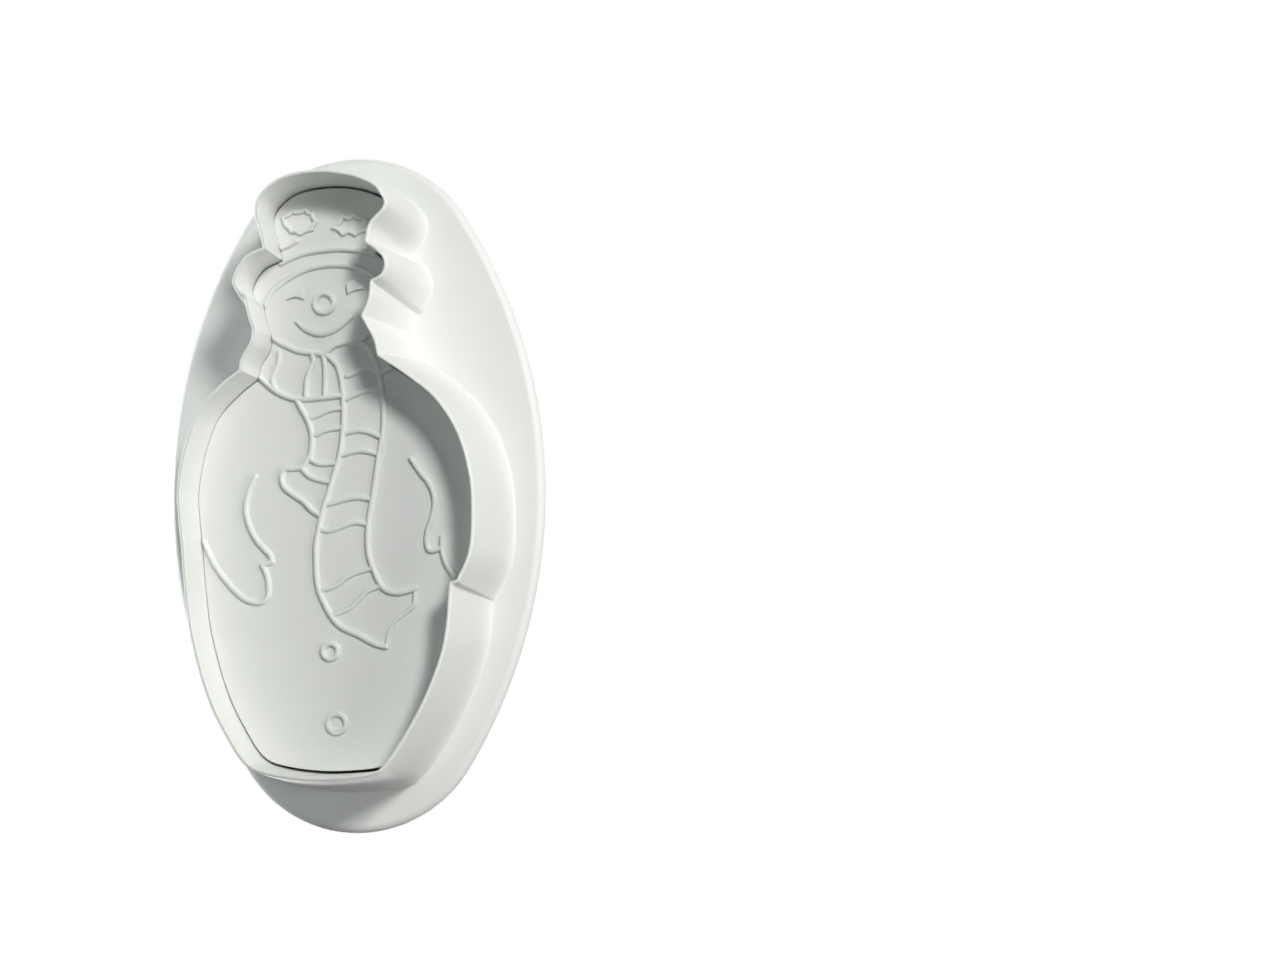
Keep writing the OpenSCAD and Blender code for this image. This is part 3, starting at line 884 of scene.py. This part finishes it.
def raised_ring(centre, diameter):
    """A closed round line."""
    points = []
    for s in range(RING_STEPS):
        angle = 2 * math.pi * s / RING_STEPS
        points.append(Vector(centre) + Vector((math.cos(angle), math.sin(angle))) * diameter / 2)
    return raised_line(points, closed=True)


eyes = [raised_patch(knots, middle) for knots, middle in zip(EYES, EYE_MIDDLES)]
drawn("closed_eyes", "eyes", eyes)
drawn("nose_circle", "nose_ring", [raised_ring(NOSE_CENTRE, NOSE_DIAMETER)])
drawn("smile_line", "smile", [raised_line(soft_line(SMILE), SMILE_TIP, middle=SMILE_MIDDLE)])

# %% [markdown]
# ## The scarf
# The scarf wraps the neck in two sweeps under the chin. Its long end hangs down the front in bars
# and ends in a fringe, and its short end hangs behind it. Every line is drawn in full and then cut
# by a stencil of what lies in front of it. Ending each line by hand at its neighbour would leave
# gaps or nubs there.

# %% Scarf
CHIN_LEFT = [
    [-9.4, 21.4], [-8.6, 20.8], [-7.6, 20.2], [-6.6, 19.7], [-5.4, 19.2], [-3.8, 18.9],
    [-1.7, 18.6]]
CHIN_RIGHT = [
    [-1.7, 18.6], [-1, 19.2], [0, 19.8], [1.5, 20.1], [3.3, 20.2], [4.5, 21], [6.3, 22.6]]
WRAP_BOTTOM = [
    [-11.2, 15.6], [-9.7, 14.2], [-8.2, 13.1], [-6.4, 12.4], [-4.5, 12.2], [-2.3, 12.3],
    [0.8, 12.5]]
WRAP_FOLDS = [
    [[6.2, 15.4], [7.6, 16], [9, 16.9]],
    [[-8.3, 19], [-8.4, 17.7], [-8.8, 16.6], [-9.3, 15.4], [-9.3, 14.6], [-8.9, 13.7]],
    [[-3.5, 18.8], [-3.3, 17.6], [-3.7, 16.6], [-4.2, 15.4], [-4.4, 14.1], [-4.5, 12.5]],
    [[-1.9, 18.6], [-1.6, 16.8], [-1.6, 14.8], [-1.7, 12.6]]]
LONG_LEFT = [
    [-1.6, 18.6], [-0.5, 17.7], [0.2, 16.8], [0.7, 15], [1, 12.1], [1, 8.4], [0.5, 4.3],
    [-0.4, 1.3], [-1.3, -1.5], [-2.1, -3.9], [-2.7, -6.5], [-3.1, -8.7], [-3.1, -11], [-2.9, -14.2],
    [-1.8, -17.2], [0.1, -20], [3.1, -21.6], [5.5, -22.9], [6.9, -23.3]]
LONG_RIGHT = [
    [3.3, 20.2], [4.7, 19.2], [5.8, 17], [6.5, 14.5], [6.9, 10.7], [6.7, 6.7], [6, 3.1],
    [5.3, -1.5], [4.6, -5.4], [4.4, -8.2], [4.6, -10.5], [5.4, -12.8], [6.4, -14.8], [7.3, -15.5],
    [8.6, -15.8], [10.1, -15.6], [11.3, -15.2]]
LONG_FRINGE = [
    [[11.3, -15.2], [11.1, -16.3], [11, -17.4], [10.3, -18.2], [9.2, -19], [8.2, -19.9],
     [7.4, -21.2], [6.9, -23.3]]]
LONG_BARS = [
    [[1.6, 15.3], [3.1, 15.8], [4.4, 16], [5.4, 15.9], [6.5, 15.3]],
    [[1.1, 11.8], [3.1, 12.7], [4.5, 13.1], [6.7, 13.1]],
    [[0.9, 7], [2.8, 7.4], [4.5, 7.2], [6.5, 6.3]],
    [[0.5, 3.9], [2, 4.3], [3.7, 4.5], [6.1, 3.9]],
    [[-1.7, -3.1], [0.2, -2.6], [2, -2.2], [3.4, -2.2], [5.1, -2.5]],
    [[-2.7, -6.5], [-1, -6.7], [0.6, -6.2], [1.9, -5.8], [3.1, -5.7], [4.6, -6.1]],
    [[-2.8, -15.2], [-0.4, -14.6], [1.2, -13.5], [2.7, -12.8], [5.2, -12.2]],
    [[-0.8, -18.7], [1.8, -17.7], [3.1, -16.6], [4.2, -15.5], [6.2, -14.7]]]
SHORT_LEFT = [
    [-5.9, 12.4], [-5, 10.6], [-4.2, 9.2], [-3.7, 7.6], [-3.6, 5.8], [-3.9, 4.1], [-4.5, 3.2],
    [-5.2, 2.4]]
SHORT_FLAP = [
    [-5.2, 2.4], [-6.5, 2.3], [-7.5, 2.2], [-8, 1.5], [-8, 0.6], [-7.6, -0.4], [-6.1, -1.6],
    [-4.8, -2.5], [-3.7, -3.7], [-2.3, -4.6]]
SHORT_BARS = [
    [[-4.2, 9.3], [-2.5, 9.9], [-1, 10.5], [0.8, 10.7]],
    [[-3.7, 6.8], [-2.6, 7.2], [-1.6, 7.6], [-0.5, 7.8], [0.8, 7.9]],
    [[-4, 3.7], [-3, 3], [-1.8, 2.8], [0, 2.9]],
    [[-5.1, 2.3], [-4.1, 1.2], [-2.8, 0.6], [-0.9, 0.2]]]
FACE_TOP = [Vector((7.3, 31.1)), Vector((-10.3, 30.4))]
WRAP_TOP = [Vector((0.7, 18.8)), Vector((-11.4, 18.4))]
BAR = 0.4
BAR_HEIGHT = 0.48
FRINGE = 0.34
FRINGE_HEIGHT = 0.42


def above_chin():
    """Stencil over the face, from the chin up."""
    return stencil(soft_line(CHIN_LEFT) + soft_line(CHIN_RIGHT)[1:] + FACE_TOP)


def under_wrap():
    """Stencil over the wrapped band of the scarf."""
    return stencil(soft_line(WRAP_BOTTOM) + WRAP_TOP)


def under_long_end():
    """Stencil over the scarf's long end."""
    return stencil(soft_line(LONG_LEFT) + soft_line(LONG_RIGHT)[::-1])


drawn("scarf_wrap_lines", "scarf_wrap", lines([CHIN_LEFT, CHIN_RIGHT, WRAP_BOTTOM] + WRAP_FOLDS))
long_lines = lines([LONG_LEFT, LONG_RIGHT]) + lines(LONG_FRINGE, FRINGE, FRINGE_HEIGHT)
long_lines += lines(LONG_BARS, BAR, BAR_HEIGHT)
drawn("scarf_long_lines", "scarf_long_end", long_lines, [above_chin()])
short_lines = lines([SHORT_LEFT, SHORT_FLAP]) + lines(SHORT_BARS, BAR, BAR_HEIGHT)
drawn("scarf_short_lines", "scarf_short_end", short_lines, [under_long_end(), under_wrap()])

# %% [markdown]
# ## Arms and buttons
# Two arms with mittens lie against the body, and two rings stand for buttons. The outer lines of
# both mittens run to the plate's edge, where the stencil trims their round ends. Mirroring one arm
# would save a list, but the real arms differ.

# %% Arms and buttons
ARM_LEFT = [
    [[-11.9, 1.3], [-12.7, -0.3], [-13.2, -2], [-13.3, -3.6], [-12.9, -5.4], [-11.9, -7.5],
     [-10.6, -9.1], [-9.7, -10], [-9.5, -10.9]],
    [[-9.5, -10.9], [-10.9, -11.4]],
    [[-10.9, -11.4], [-10.3, -12.6], [-10, -14.3], [-10.1, -15.7], [-10.8, -16.5], [-11.9, -16.6],
     [-13.5, -16], [-15.4, -14.3], [-17.4, -11.8], [-18.6, -9.7], [-19.5, -7.7]]]
ARM_RIGHT = [
    [[10.8, 3.1], [12, 1.3], [13.3, -0.4], [14, -2], [14.1, -3.6], [13.7, -5.4], [13.1, -7.1],
     [12.9, -8.6], [13.2, -9.8], [13.8, -10], [14.9, -9.7]],
    [[15.1, -8.2], [15.1, -9.7], [15.5, -11.5], [16.3, -13], [17.6, -14.8]]]
BUTTONS = [((-1.1, -23.7), 2.2), ((-0.2, -33.8), 2.6)]

drawn("arm_left_lines", "arm_left", lines(ARM_LEFT))
drawn("arm_right_lines", "arm_right", lines(ARM_RIGHT))
drawn("button_rings", "buttons", [raised_ring(*button) for button in BUTTONS])

# %% [markdown]
# ## The return spring
# A steel spring round the stem pushes the knob back. It is out of sight in the tube, but it is a
# real part; in the real cutter it shortens when the knob is pressed. A screw modifier could wind
# it, but a loop of rings says the same with the turns and the rise in plain sight.

# %% Spring
WIRE = 1.0
COIL_RADIUS = 6
COIL_TURNS = 8
TURN_STEPS = 28
WIRE_SIDES = 12
STEEL = (0.62, 0.62, 0.6)
STREAKS = 900
STEEL_SHINE = (0.22, 0.36)


def steel(name):
    """Bright drawn spring wire, with faint streaks in its shine."""
    material = bpy.data.materials.new(name)
    material.use_nodes = True
    nodes = material.node_tree.nodes
    links = material.node_tree.links
    shader = nodes["Principled BSDF"]
    shader.inputs["Metallic"].default_value = 1
    shader.inputs["Base Color"].default_value = (*STEEL, 1)
    space = nodes.new("ShaderNodeTexCoord")
    rough = spread(nodes, links, noise(nodes, links, space, STREAKS, 3), *STEEL_SHINE)
    links.new(rough.outputs["Result"], shader.inputs["Roughness"])
    return material


def return_spring():
    """Round wire wound in a helix between the socket and the shank."""
    low, high = corners("return_spring")
    first = low.z + WIRE / 2
    rise = high.z - low.z - WIRE
    slope = math.atan2(rise / COIL_TURNS, 2 * math.pi * COIL_RADIUS)
    rings = []
    for s in range(COIL_TURNS * TURN_STEPS + 1):
        turn = 2 * math.pi * s / TURN_STEPS
        out = Vector((math.cos(turn), math.sin(turn), 0))
        along = Vector((-math.sin(turn), math.cos(turn), math.tan(slope))).normalized()
        over = along.cross(out) * -1
        centre = out * COIL_RADIUS + Vector((0, 0, first + rise * s / (COIL_TURNS * TURN_STEPS)))
        ring = []
        for side in range(WIRE_SIDES):
            angle = 2 * math.pi * side / WIRE_SIDES
            ring.append(centre + (out * math.cos(angle) + over * math.sin(angle)) * WIRE / 2)
        rings.append(ring)
    return skin("spring_wire", rings)


spring = return_spring()
place(spring, "cutter", "spring_steel", steel("spring_wire_steel"), "return_spring")
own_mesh(spring)

# %% [markdown]
# ## The parts that stay CAD
# The socket ring, the skirt behind the plate and the stem are simple moulded shapes that hardly
# show. They could be made again as skins, but nothing would look different. So their CAD solids
# stay, in the same plastic as their neighbours.

# %% Hidden mouldings
HIDDEN = {"tube_socket": body_plastic, "plate_skirt": plunger_plastic,
          "plunger_stem": plunger_plastic}

for node, material in HIDDEN.items():
    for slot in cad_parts[node].material_slots:
        slot.material = material
    print(node, "keeps its CAD shape")

# %% [markdown]
# ## Lamps
# In the photograph most light comes from above and to the right of the camera, and throws the
# wall's soft shadows on the plate. The key lamp stands there. Side lamps fill the wall from both
# sides, a broad weak one beside the camera keeps the shadows open, and a low one lifts the wall
# round the snowman's base. Their levels were balanced until plain areas of the wall, the plate and
# the flange were about as light as in the photograph. The rim, back and top lamps light the tube
# and the knob, which that view hides. A picture of a studio could light all this at once, but each
# lamp here has one job and can be changed alone.

# %% Lamps
MIDDLE = Vector((0, 0, 25)) * MM
LAMP_DISTANCE = 0.9
WARM = (1, 0.995, 0.985)
NEARLY_WHITE = (1, 0.998, 0.99)
LAMPS = [
    ("key_light", (-0.64, 0.53, -1.0), 0.17, 0.65, WARM),
    ("side_light", (-1.0, -0.1, -0.4), 0.4, 0.42, NEARLY_WHITE),
    ("edge_light", (-1.0, 0.6, -0.05), 0.4, 0.1, (1, 1, 1)),
    ("left_light", (1.0, 0.1, -0.05), 0.3, 0.56, (0.93, 0.98, 1)),
    ("rim_light", (1.0, 0.1, 0.25), 0.3, 0.5, (0.97, 0.99, 1)),
    ("camera_light", (0.7, 0.2, -1.0), 0.7, 0.085, (0.84, 0.95, 1)),
    ("back_light", (0.3, 1.0, 0.6), 0.4, 0.3, WARM),
    ("top_light", (0.15, -0.45, 1.0), 0.5, 0.6, WARM),
    ("low_light", (0.0, -1.0, -0.4), 0.5, 0.035, NEARLY_WHITE)]


def add_lamp(name, direction, size, level, colour):
    """A square soft light aimed at the cutter; at level 1 it lights a white face to white."""
    data = bpy.data.lights.new(name, "AREA")
    data.size = size
    data.energy = level * (math.pi * LAMP_DISTANCE) ** 2
    data.color = colour
    lamp = bpy.data.objects.new(name, data)
    bpy.context.scene.collection.objects.link(lamp)
    away = Vector(direction).normalized()
    lamp.rotation_euler = away.to_track_quat("Z", "Y").to_euler()
    lamp.location = MIDDLE + away * LAMP_DISTANCE


for lamp_values in LAMPS:
    add_lamp(*lamp_values)
print("lamps:", [light.name for light in bpy.data.lights])

# %% [markdown]
# ## Surround
# The photograph's surround is plain white. Raising the world's light to white would wash out the
# part, so only the rays of the camera, reflections and clear things see it white, and the part
# itself gets a faint even light.

# %% Surround
AMBIENT = 0.02
AMBIENT_TINT = (0.9, 0.97, 1.0)


def add_world():
    """A soft surround for light, seen as pure white by the camera and in reflections."""
    world = bpy.data.worlds.new("white_surround")
    world.use_nodes = True
    nodes = world.node_tree.nodes
    links = world.node_tree.links
    nodes.clear()
    soft = nodes.new("ShaderNodeBackground")
    soft.inputs["Color"].default_value = (*AMBIENT_TINT, 1)
    soft.inputs["Strength"].default_value = AMBIENT
    white = nodes.new("ShaderNodeBackground")
    white.inputs["Color"].default_value = (1, 1, 1, 1)
    white.inputs["Strength"].default_value = 1
    path = nodes.new("ShaderNodeLightPath")
    seen = path.outputs["Is Camera Ray"]
    for other in ("Is Glossy Ray", "Is Transmission Ray"):
        either = nodes.new("ShaderNodeMath")
        either.operation = "MAXIMUM"
        links.new(seen, either.inputs[0])
        links.new(path.outputs[other], either.inputs[1])
        seen = either.outputs[0]
    mix = nodes.new("ShaderNodeMixShader")
    links.new(seen, mix.inputs["Fac"])
    links.new(soft.outputs[0], mix.inputs[1])
    links.new(white.outputs[0], mix.inputs[2])
    output = nodes.new("ShaderNodeOutputWorld")
    links.new(mix.outputs[0], output.inputs["Surface"])
    bpy.context.scene.world = world


add_world()
bpy.context.scene.view_settings.view_transform = "Standard"
print("ambient light:", AMBIENT)

# %% [markdown]
# ## Floor
# A pale disc takes the part's shadow in the views from above and fades into the white surround.
# From below it would hide the part and shade it, so it shows its upper side only, and every ray
# but the camera's passes through it.

# %% Floor
FLOOR_RADIUS = 0.6
FLOOR_SIDES = 64
PALE = (0.9, 0.9, 0.9)
FADE_START = 0.12
FADE_END = 0.55


def floor_finish():
    """Pale matt board, seen from above only, and fading out with distance."""
    material = bpy.data.materials.new("pale_floor")
    material.use_nodes = True
    nodes = material.node_tree.nodes
    links = material.node_tree.links
    nodes.clear()
    matt = nodes.new("ShaderNodeBsdfDiffuse")
    matt.inputs["Color"].default_value = (*PALE, 1)
    clear = nodes.new("ShaderNodeBsdfTransparent")
    space = nodes.new("ShaderNodeTexCoord")
    distance = nodes.new("ShaderNodeVectorMath")
    distance.operation = "LENGTH"
    links.new(space.outputs["Object"], distance.inputs[0])
    fade = nodes.new("ShaderNodeMapRange")
    fade.interpolation_type = "SMOOTHSTEP"
    fade.inputs["From Min"].default_value = FADE_START
    fade.inputs["From Max"].default_value = FADE_END
    links.new(distance.outputs["Value"], fade.inputs["Value"])
    below = nodes.new("ShaderNodeNewGeometry")
    hide = nodes.new("ShaderNodeMath")
    hide.operation = "MAXIMUM"
    links.new(fade.outputs["Result"], hide.inputs[0])
    links.new(below.outputs["Backfacing"], hide.inputs[1])
    mix = nodes.new("ShaderNodeMixShader")
    links.new(hide.outputs[0], mix.inputs["Fac"])
    links.new(matt.outputs[0], mix.inputs[1])
    links.new(clear.outputs[0], mix.inputs[2])
    output = nodes.new("ShaderNodeOutputMaterial")
    links.new(mix.outputs[0], output.inputs["Surface"])
    return material


def add_floor():
    """A disc under the cutting edge that casts no shadow and no light on the part."""
    mesh = bpy.data.meshes.new("floor")
    ring = []
    for s in range(FLOOR_SIDES):
        angle = 2 * math.pi * s / FLOOR_SIDES
        ring.append((FLOOR_RADIUS * math.cos(angle), FLOOR_RADIUS * math.sin(angle), 0))
    mesh.from_pydata(ring, [], [tuple(range(FLOOR_SIDES))])
    mesh.materials.append(floor_finish())
    floor = bpy.data.objects.new("floor", mesh)
    bpy.context.scene.collection.objects.link(floor)
    floor.visible_diffuse = False
    floor.visible_glossy = False
    floor.visible_transmission = False
    floor.visible_shadow = False


add_floor()
print("floor radius, m:", FLOOR_RADIUS)
